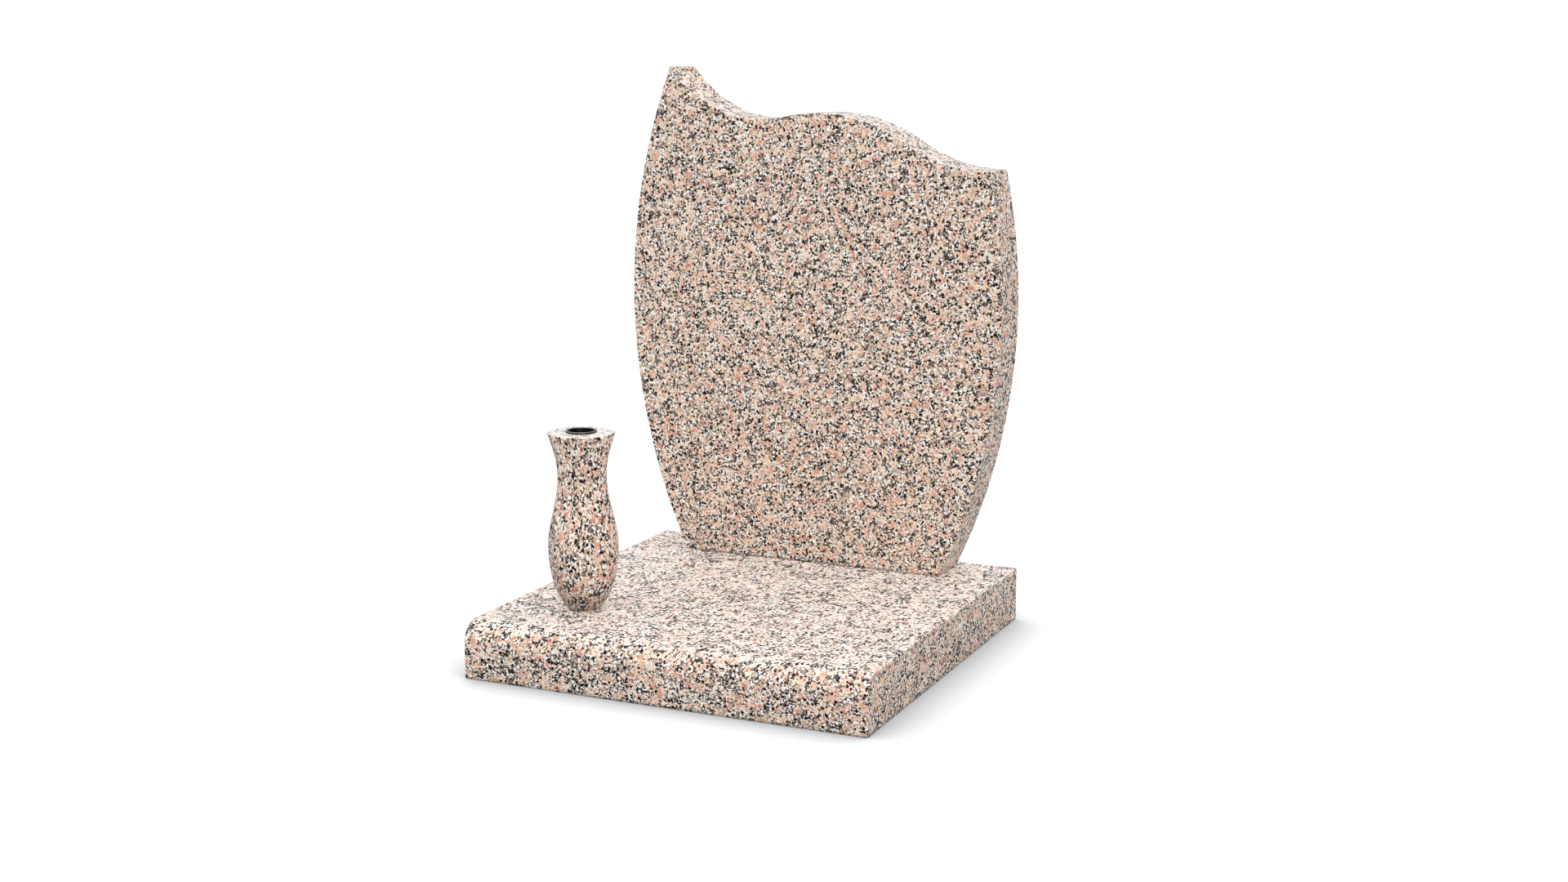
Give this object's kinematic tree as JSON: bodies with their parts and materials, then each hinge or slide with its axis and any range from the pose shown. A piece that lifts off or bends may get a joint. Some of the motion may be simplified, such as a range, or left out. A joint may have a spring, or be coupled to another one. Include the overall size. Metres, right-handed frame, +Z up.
{
  "type": "grave monument",
  "caption": "Polished pink granite grave monument: a base slab with a rounded front edge, an upright headstone with a swept top, and a turned flower vase with a liner cup.",
  "frame": {"origin": "centre of the base slab's underside, on the ground", "axes": "+Z up; the headstone's polished front and the slab's rounded edge look towards -Y; +X is to the right seen from the front"},
  "size_m": [0.6, 0.6, 0.828],
  "materials": {
    "granite": "polished, coarse pink, cream, white and black grains",
    "black_plastic": "satin black moulding"
  },
  "bodies": {
    "root": {"base_slab": "granite", "headstone": "granite", "vase": "granite", "vase_insert": "black_plastic"}
  },
  "joints": []
}
